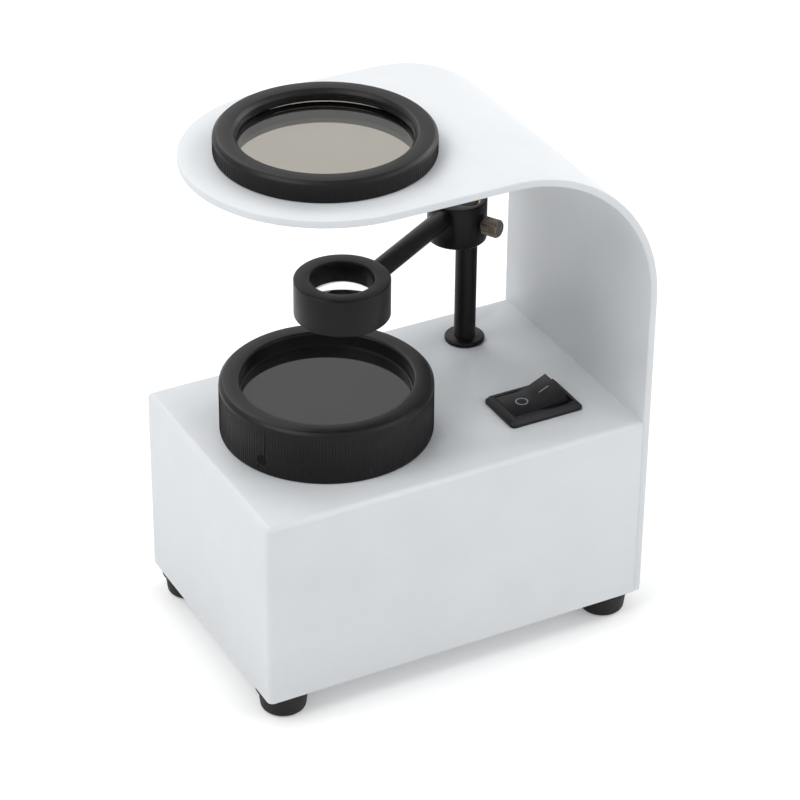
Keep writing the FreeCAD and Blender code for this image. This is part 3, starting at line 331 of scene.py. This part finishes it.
# turned parts: each arris broken by the tool, less than a quarter of a millimetre
turnedEdges = {
    "stage_ring": ("stageRingTurned", "stage", 0.00022),
    "analyser_ring": ("analyserRingTurned", "analyser", 0.00022),
    "lens_ring": ("lensRingTurned", "arm", 0.0002),
    "arm_rod": ("armRodTurned", "arm", 0.0001),
    "arm_collar": ("collarTurned", "arm", 0.0002),
    "conoscope_post": ("postTurned", "base", 0.0002),
}
for node, (name, body, width) in turnedEdges.items():
    easedCopy(node, name, body, blackAnodised, width)
lensEdge = 0.0001
easedCopy("conoscope_lens", "lensPolished", "arm", lensGlass, lensEdge)
print("turned parts made")


def knurlTree():
    # straight knurl: square bars stood on edge round a circle, with only their outer corners showing
    tree, sizes, identifiers = newTree("straightKnurl", {
        "Radius": "NodeSocketFloat", "Height": "NodeSocketFloat", "Ridges": "NodeSocketInt",
        "Bar Radius": "NodeSocketFloat"})
    reach = addNode(tree, "ShaderNodeMath", {"operation": "SUBTRACT"},
                    {0: sizes["Radius"], 1: sizes["Bar Radius"]})
    circle = addNode(tree, "GeometryNodeMeshCircle", {},
                     {"Vertices": sizes["Ridges"], "Radius": reach.outputs[0]})
    barSides = 4
    bar = addNode(tree, "GeometryNodeMeshCylinder", {"Vertices": barSides},
                  {"Radius": sizes["Bar Radius"], "Depth": sizes["Height"]})
    order = addNode(tree, "GeometryNodeInputIndex")
    pitch = addNode(tree, "ShaderNodeMath", {"operation": "DIVIDE", 0: math.tau},
                    {1: sizes["Ridges"]})
    turn = addNode(tree, "ShaderNodeMath", {"operation": "MULTIPLY"},
                   {0: order.outputs["Index"], 1: pitch.outputs[0]})
    spin = addNode(tree, "ShaderNodeCombineXYZ", {}, {"Z": turn.outputs[0]})
    bars = addNode(tree, "GeometryNodeInstanceOnPoints", {},
                   {"Points": circle.outputs["Mesh"], "Instance": bar.outputs["Mesh"],
                    "Rotation": spin.outputs["Vector"]})
    endTree(tree, bars.outputs["Instances"])
    return tree, identifiers


knurl, knurlInputs = knurlTree()


def addKnurl(name, body, material, look, height, placement):
    piece = growPiece(name, knurl, knurlInputs, {
        "Radius": look["radius"], "Height": height, "Ridges": look["ridges"],
        "Bar Radius": look["barRadius"]})
    finishPiece(piece, body, material)
    piece.data.transform(placement)


stageLow, stageHigh = (Vector(corner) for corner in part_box("stage_ring"))
analyserLow, analyserHigh = (Vector(corner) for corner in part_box("analyser_ring"))
opticX = (analyserLow.x + analyserHigh.x) / 2
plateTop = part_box("arch_bracket")[1][2]

# foot and bare are the plain bands below and above the knurl
stageKnurl = {"radius": 0.02708, "ridges": 212, "barRadius": 0.0004, "foot": 0.0004, "bare": 0.0018}
low, high = stageLow.z + stageKnurl["foot"], stageHigh.z - stageKnurl["bare"]
addKnurl("stageKnurl", "stage", blackAnodised, stageKnurl, high - low,
         Matrix.Translation((opticX, 0, (high + low) / 2)))

analyserKnurl = {"radius": 0.02708, "ridges": 212, "barRadius": 0.0004, "foot": 0.0005,
                 "bare": 0.0015}
low, high = plateTop + analyserKnurl["foot"], analyserHigh.z - analyserKnurl["bare"]
addKnurl("analyserKnurl", "analyser", blackAnodised, analyserKnurl, high - low,
         Matrix.Translation((opticX, 0, (high + low) / 2)))

# thumbscrew knob: a small turned head, bored for its shank, with a coarse straight knurl
thumbKnob = {"postAxis": (0.03265, 0.0219, 0.095), "direction": (0.515038, -0.857167, 0.0),
             "start": 0.0053, "length": 0.0044, "core": 0.00222, "edge": 0.0002, "chamfer": 0.0004,
             "bore": 0.00155, "boreDepth": 0.00305, "segments": 48}
knobKnurl = {"radius": 0.00245, "ridges": 22, "barRadius": 0.00034, "foot": 0.0001}
along = Vector(thumbKnob["direction"])
knobPlace = (Matrix.Translation(Vector(thumbKnob["postAxis"]) + along * thumbKnob["start"])
             @ along.to_track_quat("Z", "Y").to_matrix().to_4x4())
knobMesh = turnedMesh("thumbKnobCore", [
    (0, thumbKnob["boreDepth"]), (thumbKnob["bore"], thumbKnob["boreDepth"]), (thumbKnob["bore"], 0),
    (thumbKnob["core"] - thumbKnob["edge"], 0), (thumbKnob["core"], thumbKnob["edge"]),
    (thumbKnob["core"], thumbKnob["length"] - thumbKnob["chamfer"] / 2),
    (thumbKnob["core"] - thumbKnob["chamfer"] / 2, thumbKnob["length"]),
    (0, thumbKnob["length"])], thumbKnob["segments"])
knobMesh.transform(knobPlace)
finishPiece(addObject("thumbKnobCore", knobMesh), "knob", knobSteel,
            ["thumbscrew_knob"])
ridgeLength = thumbKnob["length"] - thumbKnob["chamfer"] - knobKnurl["foot"]
addKnurl("thumbKnurl", "knob", knobSteel, knobKnurl, ridgeLength,
         knobPlace @ Matrix.Translation((0, 0, ridgeLength / 2 + knobKnurl["foot"])))
print("knurls made")


def prism(name, corners, low, high):
    # an upright bar on the outline given by its corners
    work = bmesh.new()
    floor = work.faces.new([work.verts.new((x, y, low)) for x, y in corners])
    raised = bmesh.ops.extrude_face_region(work, geom=[floor])
    for item in raised["geom"]:
        if isinstance(item, bmesh.types.BMVert):
            item.co.z = high
    bmesh.ops.recalc_face_normals(work, faces=work.faces)
    mesh = bpy.data.meshes.new(name)
    work.to_mesh(mesh)
    work.free()
    return addObject(name, mesh)


def cutInto(mesh, cutter):
    # the mesh with the cutter's shape sunk into it
    piece = addObject("cutting", mesh)
    cut = piece.modifiers.new("cut", "BOOLEAN")
    cut.object = cutter
    cut.solver = "EXACT"
    depsgraph = bpy.context.evaluated_depsgraph_get()
    result = bpy.data.meshes.new_from_object(piece.evaluated_get(depsgraph))
    bpy.data.objects.remove(piece)
    bpy.data.objects.remove(cutter)
    return result


def fourTree():
    # the same fastener or foot at the four corners of a rectangle
    tree, sizes, identifiers = newTree("fourCorners", {
        "Part": "NodeSocketObject", "Length": "NodeSocketFloat", "Width": "NodeSocketFloat"})
    corners = addNode(tree, "GeometryNodeMeshGrid", {"Vertices X": 2, "Vertices Y": 2},
                      {"Size X": sizes["Length"], "Size Y": sizes["Width"]})
    part = addNode(tree, "GeometryNodeObjectInfo", {}, {"Object": sizes["Part"]})
    placed = addNode(tree, "GeometryNodeInstanceOnPoints", {},
                     {"Points": corners.outputs["Mesh"], "Instance": part.outputs["Geometry"]})
    endTree(tree, placed.outputs["Instances"])
    return tree, identifiers


four, fourInputs = fourTree()
feetLow, feetHigh = (Vector(corner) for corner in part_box("rubber_feet"))
feetMiddle = (feetLow.x + feetHigh.x) / 2
footRadius = 0.0065
footSpan = (feetHigh.x - feetLow.x - footRadius * 2, feetHigh.y - feetLow.y - footRadius * 2)


def addFour(name, body, material, mesh, replaced):
    part = addObject(name + "Part", mesh)
    piece = growPiece(name, four, fourInputs,
                      {"Part": part, "Length": footSpan[0], "Width": footSpan[1]})
    finishPiece(piece, body, material, replaced)
    piece.data.transform(Matrix.Translation((feetMiddle, 0, 0)))
    bpy.data.objects.remove(part)


# foot: a moulded bumper with a thin flange against the plate and a rounded tread
foot = {"flange": 0.0071, "flangeDepth": 0.0013, "flangeEdge": 0.0003, "waist": 0.0064,
        "tread": 0.0059, "round": 0.0013, "roundSteps": 5, "recess": 0.0038, "recessDepth": 0.0042,
        "recessEdge": 0.0002, "hole": 0.00215, "height": 0.007, "segments": 48}
treadCurve = []
for step in range(foot["roundSteps"] + 1):
    angle = step * math.pi / (2 * foot["roundSteps"])
    treadCurve.append((foot["tread"] - foot["round"] * (1 - math.cos(angle)),
                       foot["round"] * (1 - math.sin(angle))))
flangeFoot = foot["height"] - foot["flangeDepth"]
footOutline = [(foot["hole"], foot["height"]), (foot["flange"], foot["height"]),
               (foot["flange"], flangeFoot + foot["flangeEdge"]),
               (foot["flange"] - foot["flangeEdge"], flangeFoot),
               (foot["waist"], flangeFoot)] + treadCurve
footOutline += [(foot["recess"] + foot["recessEdge"], 0), (foot["recess"], foot["recessEdge"]),
                (foot["recess"], foot["recessDepth"]), (foot["hole"], foot["recessDepth"])]
addFour("feetMoulded", "base", blackRubber,
        turnedMesh("footPart", footOutline, foot["segments"], True), ["rubber_feet"])

# foot screw: pan head with a cross recess, looking down out of the foot
footScrew = {"head": 0.0035, "headHeight": 0.0024, "crownRound": 0.0011, "crownSide": 0.0003,
             "crownRise": 0.0004, "shank": 0.002, "length": 0.0084, "tip": 0.0004, "bearing": 0.0042,
             "slot": 0.00042, "slotReach": 0.002, "slotDepth": 0.0012, "slotClear": 0.001,
             "segments": 32}
crown = footScrew["bearing"] - footScrew["headHeight"]
screwEnd = footScrew["bearing"] + footScrew["length"]
screwMesh = turnedMesh("footScrewPart", [
    (0, crown), (footScrew["head"] - footScrew["crownRound"], crown),
    (footScrew["head"] - footScrew["crownSide"], crown + footScrew["crownRise"]),
    (footScrew["head"], crown + footScrew["crownRound"]), (footScrew["head"], footScrew["bearing"]),
    (footScrew["shank"], footScrew["bearing"]), (footScrew["shank"], screwEnd - footScrew["tip"]),
    (footScrew["shank"] - footScrew["tip"], screwEnd), (0, screwEnd)], footScrew["segments"])
reach, half = footScrew["slotReach"], footScrew["slot"]
crossCorners = [(half, half), (half, reach), (-half, reach), (-half, half), (-reach, half),
                (-reach, -half), (-half, -half), (-half, -reach), (half, -reach), (half, -half),
                (reach, -half), (reach, half)]
cross = prism("crossRecess", crossCorners, crown - footScrew["slotClear"],
              crown + footScrew["slotDepth"])
addFour("footScrewsCross", "base", zincSteel, cutInto(screwMesh, cross),
        ["foot_screws"])

# grub screw in the stage ring's skirt, with its hexagon socket facing out
grub = {"angle": 207.0, "inner": 0.0243, "outer": 0.0265, "radius": 0.00125, "edge": 0.00015,
        "tip": 0.0009, "tipLength": 0.001, "socket": 0.00072, "socketDepth": 0.0011,
        "socketClear": 0.001, "height": 0.0633, "segments": 32}
outward = Vector((math.cos(math.radians(grub["angle"])), math.sin(math.radians(grub["angle"])), 0))
grubMesh = turnedMesh("grubTurned", [
    (0, grub["inner"] - grub["tipLength"]), (grub["tip"], grub["inner"] - grub["tipLength"]),
    (grub["tip"], grub["inner"]), (grub["radius"], grub["inner"]),
    (grub["radius"], grub["outer"] - grub["edge"]), (grub["radius"] - grub["edge"], grub["outer"]),
    (0, grub["outer"])], grub["segments"])
hexagon = [(grub["socket"] * math.cos(step * math.pi / 3),
            grub["socket"] * math.sin(step * math.pi / 3)) for step in range(6)]
socket = prism("hexSocket", hexagon, grub["outer"] - grub["socketDepth"],
               grub["outer"] + grub["socketClear"])
grubMesh = cutInto(grubMesh, socket)
grubMesh.transform(Matrix.Translation((opticX, 0, grub["height"]))
                   @ outward.to_track_quat("Z", "Y").to_matrix().to_4x4())
finishPiece(addObject("grubScrewSocket", grubMesh), "stage", zincSteel,
            ["stage_grub_screw"])
print("feet and screws made")

# switch: moulded bezel and rocker, and the two plain marks printed on the rocker
# circle: place from the pivot, inner and outer radius; bar: place from the pivot, length, width
switchLook = {"bezelEase": 0.00015, "rockerEase": 0.00022, "pivot": (0.03205, -0.0156),
              "circle": (-0.0033, 0.0004, 0.00132, 0.00168), "circleSteps": 40,
              "bar": (0.0032, 0.0006, 0.0027, 0.00034), "barSteps": 10,
              "inkRise": 0.00003, "inkSink": 0.00006, "rayStart": 0.08}
easedCopy("switch_body", "bezelMoulded", "base", bezelPlastic,
          switchLook["bezelEase"])
rocker = easedCopy("switch_rocker", "rockerMoulded", "rocker", rockerPlastic,
                   switchLook["rockerEase"])
rockerSurface = BVHTree.FromPolygons([vertex.co for vertex in rocker.data.vertices],
                                     [tuple(face.vertices) for face in rocker.data.polygons])


def inkBand(work, loops, closed):
    # loops: matching rows of (x, y) points; the band between them is laid on the rocker's face
    rows = []
    for level in (switchLook["inkRise"], -switchLook["inkSink"]):
        for loop in loops:
            row = []
            for x, y in loop:
                above = Vector((x, y, switchLook["rayStart"]))
                height = rockerSurface.ray_cast(above, Vector((0, 0, -1)))[0].z
                row.append(work.verts.new((x, y, height + level)))
            rows.append(row)
    around = [rows[0], rows[1], rows[3], rows[2]]
    count = len(loops[0])
    for first, second in zip(around, around[1:] + around[:1]):
        for step in range(count if closed else count - 1):
            following = (step + 1) % count
            work.faces.new((first[step], first[following], second[following], second[step]))
    if not closed:
        work.faces.new([row[0] for row in around])
        work.faces.new([row[-1] for row in around])


inkWork = bmesh.new()
pivotX, pivotY = switchLook["pivot"]
offX, offY, innerRadius, outerRadius = switchLook["circle"]
steps = switchLook["circleSteps"]
circleLoops = [[(pivotX + offX + radius * math.cos(step * math.tau / steps),
                 pivotY + offY + radius * math.sin(step * math.tau / steps))
                for step in range(steps)] for radius in (innerRadius, outerRadius)]
inkBand(inkWork, circleLoops, True)
offX, offY, barLength, barWidth = switchLook["bar"]
steps = switchLook["barSteps"]
barLoops = [[(pivotX + offX + barLength * (step / steps - 0.5), pivotY + offY + side * barWidth / 2)
             for step in range(steps + 1)] for side in (-1, 1)]
inkBand(inkWork, barLoops, False)
bmesh.ops.recalc_face_normals(inkWork, faces=inkWork.faces)
inkMesh = bpy.data.meshes.new("switchMarks")
inkWork.to_mesh(inkMesh)
inkWork.free()
finishPiece(addObject("switchMarks", inkMesh), "rocker", markInk)
print("switch made")

# the photograph's viewing angle: angles in degrees, place in metres
view = {"lens": 137.85, "sensor": 36.0, "azimuth": -28.284, "elevation": 31.98, "roll": 0.589,
        "place": (-0.31229, -0.58354, 0.47487), "clipStart": 0.01}


def makeCamera():
    camera = bpy.data.objects.new("camera", bpy.data.cameras.new("camera"))
    bpy.context.scene.collection.objects.link(camera)
    camera.data.lens = view["lens"]
    camera.data.sensor_width = view["sensor"]
    azimuth, elevation, roll = (math.radians(view[key]) for key in ("azimuth", "elevation", "roll"))
    back = Vector((math.sin(azimuth) * math.cos(elevation), -math.cos(azimuth) * math.cos(elevation),
                   math.sin(elevation)))
    right = (-back).cross(Vector((0, 0, 1))).normalized()
    up = right.cross(-back)
    rolledRight = right * math.cos(roll) + up * math.sin(roll)
    rolledUp = up * math.cos(roll) - right * math.sin(roll)
    turn = Matrix((rolledRight, rolledUp, back)).transposed().to_4x4()
    camera.matrix_world = Matrix.Translation(view["place"]) @ turn
    camera.data.clip_start = view["clipStart"]
    bpy.context.scene.camera = camera


studio = {
    "ambient": 0.44,  # how much the white surroundings light the object
    "white": "#FFFFFF", "paper": "#F2F2F2", "paperGlow": 0.24, "paperReach": 6.0, "paperCells": 8,
    "lamps": {  # place, size in metres, power in watts; all aim at the object's middle
        "leftHigh": ((-1.0, -0.1, 1.3), 1.0, 11.0),
        "rightSide": ((1.5, 0.1, 0.8), 1.0, 9.7),
        "backHigh": ((-0.1, 1.3, 1.1), 1.0, 6.5),
        "frontRight": ((1.1, -1.1, 1.0), 1.0, 6.8),
    },
    "aim": (0.0, 0.0, 0.08),
}


def seenDirectly(tree):
    # 1 for rays that show the backdrop as it is: from the camera, off metal or through glass
    path = addNode(tree, "ShaderNodeLightPath")
    first = addNode(tree, "ShaderNodeMath", {"operation": "MAXIMUM"},
                    {0: path.outputs["Is Camera Ray"], 1: path.outputs["Is Glossy Ray"]})
    return addNode(tree, "ShaderNodeMath", {"operation": "MAXIMUM"},
                   {0: first.outputs[0], 1: path.outputs["Is Transmission Ray"]}).outputs[0]


def makeSurroundings():
    world = bpy.data.worlds.new("studio")
    bpy.context.scene.world = world
    world.use_nodes = True
    tree = world.node_tree
    tree.nodes.clear()
    strength = addNode(tree, "ShaderNodeMapRange", {"To Min": studio["ambient"], "To Max": 1.0},
                       {"Value": seenDirectly(tree)})
    sky = addNode(tree, "ShaderNodeBackground", {"Color": hexColor(studio["white"])},
                  {"Strength": strength.outputs["Result"]})
    addNode(tree, "ShaderNodeOutputWorld", {}, {"Surface": sky.outputs["Background"]})


def makeFloor():
    # matt white studio paper, lifted to white where it is looked at, its shadow kept
    work = bmesh.new()
    bmesh.ops.create_grid(work, x_segments=studio["paperCells"], y_segments=studio["paperCells"],
                          size=studio["paperReach"])
    mesh = bpy.data.meshes.new("floor")
    work.to_mesh(mesh)
    work.free()
    material = bpy.data.materials.new("studioPaper")
    material.use_nodes = True
    tree = material.node_tree
    tree.nodes.clear()
    paper = addNode(tree, "ShaderNodeBsdfDiffuse", {"Color": hexColor(studio["paper"])})
    lift = addNode(tree, "ShaderNodeMath", {"operation": "MULTIPLY", 1: studio["paperGlow"]},
                   {0: seenDirectly(tree)})
    glow = addNode(tree, "ShaderNodeEmission", {"Color": hexColor(studio["white"])},
                   {"Strength": lift.outputs[0]})
    both = addNode(tree, "ShaderNodeAddShader", {}, {0: paper.outputs[0], 1: glow.outputs[0]})
    addNode(tree, "ShaderNodeOutputMaterial", {}, {"Surface": both.outputs[0]})
    mesh.materials.append(material)
    addObject("floor", mesh)


def makeLamps():
    for name, (place, size, power) in studio["lamps"].items():
        lamp = bpy.data.objects.new(name, bpy.data.lights.new(name, "AREA"))
        bpy.context.scene.collection.objects.link(lamp)
        lamp.data.shape = "SQUARE"
        lamp.data.size = size
        lamp.data.energy = power
        lamp.location = place
        toObject = Vector(studio["aim"]) - Vector(place)
        lamp.rotation_euler = toObject.to_track_quat("-Z", "Y").to_euler()


makeCamera()
makeSurroundings()
makeFloor()
makeLamps()
bpy.context.scene.view_settings.view_transform = "Standard"
print("camera, floor and lamps made")
